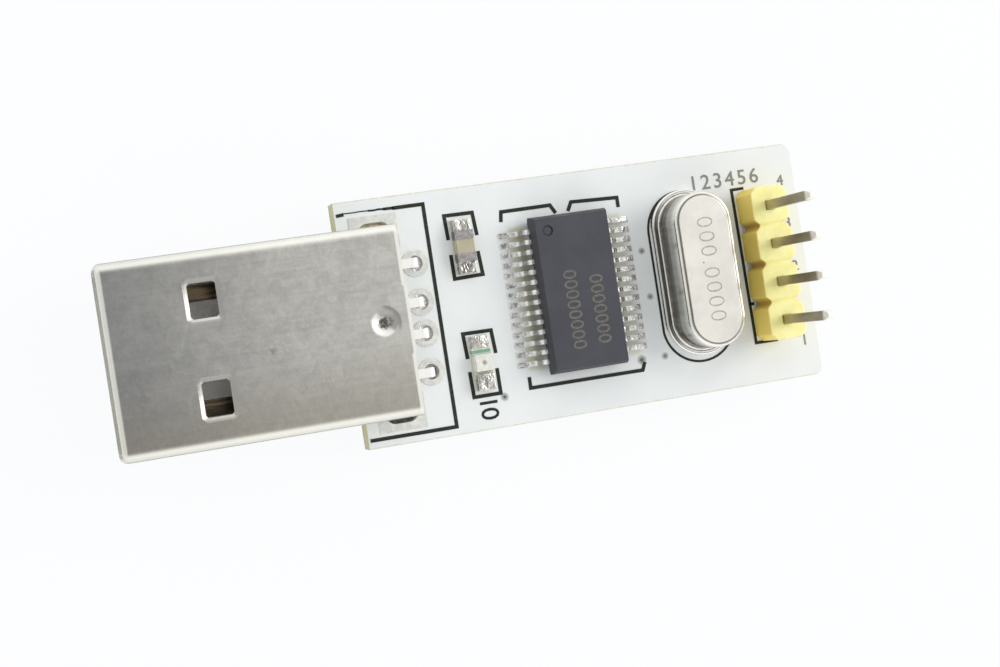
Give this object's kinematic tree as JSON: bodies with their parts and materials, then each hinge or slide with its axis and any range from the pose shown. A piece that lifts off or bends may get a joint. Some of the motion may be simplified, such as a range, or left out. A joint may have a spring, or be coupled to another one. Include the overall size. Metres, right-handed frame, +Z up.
{
  "type": "usb to serial adapter module",
  "caption": "Small white circuit board with a metal USB plug at one end, a chip, a crystal can and a yellow pin header at the other.",
  "frame": {"origin": "under the middle of the module's outer box, level with the cut ends of the leads that come through the board", "axes": "+X from the USB plug towards the pin header, +Y across the board, +Z up on the component side, along the header's pins"},
  "size_m": [0.047, 0.0158, 0.012],
  "materials": {
    "board_white": "satin white solder mask on glass epoxy, tan cut edges",
    "pad_tin": "levelled tin over copper",
    "shell_steel": "matt nickel plated steel sheet, lightly scratched",
    "insulator_white": "moulded white plastic",
    "contact_gold": "thin gold over copper alloy",
    "chip_plastic": "matt black moulding compound",
    "lead_tin": "matt tin plate",
    "solder": "bright uneven solder",
    "can_nickel": "bright nickel plate",
    "seal_glass": "dark glass bead",
    "quartz": "polished quartz",
    "header_yellow": "satin yellow nylon",
    "pin_tin": "tin over brass, bright cut ends",
    "ceramic_tan": "fired brown ceramic",
    "alumina_white": "white alumina with a dark glazed face",
    "end_tin": "tin plated end",
    "lamp_board": "white laminate with a green mark",
    "lamp_die": "bare chip",
    "lamp_clear": "clear epoxy"
  },
  "bodies": {
    "root": {"capacitor_body": "ceramic_tan", "capacitor_ends": "end_tin", "chip_body": "chip_plastic", "chip_leads_left": "lead_tin", "chip_leads_right": "lead_tin", "circuit_board": "board_white", "copper_pads_bottom": "pad_tin", "copper_pads_top": "pad_tin", "crystal_base": "can_nickel", "crystal_blank": "quartz", "crystal_can": "can_nickel", "crystal_clips": "lead_tin", "crystal_lead_1": "lead_tin", "crystal_lead_2": "lead_tin", "crystal_seals": "seal_glass", "header_housing": "header_yellow", "header_pin_1": "pin_tin", "header_pin_2": "pin_tin", "header_pin_3": "pin_tin", "header_pin_4": "pin_tin", "lamp_base": "lamp_board", "lamp_die": "lamp_die", "lamp_ends": "end_tin", "lamp_lens": "lamp_clear", "plug_contact_1": "contact_gold", "plug_contact_2": "contact_gold", "plug_contact_3": "contact_gold", "plug_contact_4": "contact_gold", "plug_insulator": "insulator_white", "plug_shell": "shell_steel", "resistor_bodies": "alumina_white", "resistor_ends": "end_tin", "solder_chip_left": "solder", "solder_chip_right": "solder", "solder_crystal": "solder", "solder_header": "solder", "solder_plug_pins": "solder", "solder_plug_tabs": "solder", "solder_top_parts": "solder", "solder_under_parts": "solder", "under_capacitor_bodies": "ceramic_tan", "under_capacitor_ends": "end_tin"}
  },
  "joints": []
}
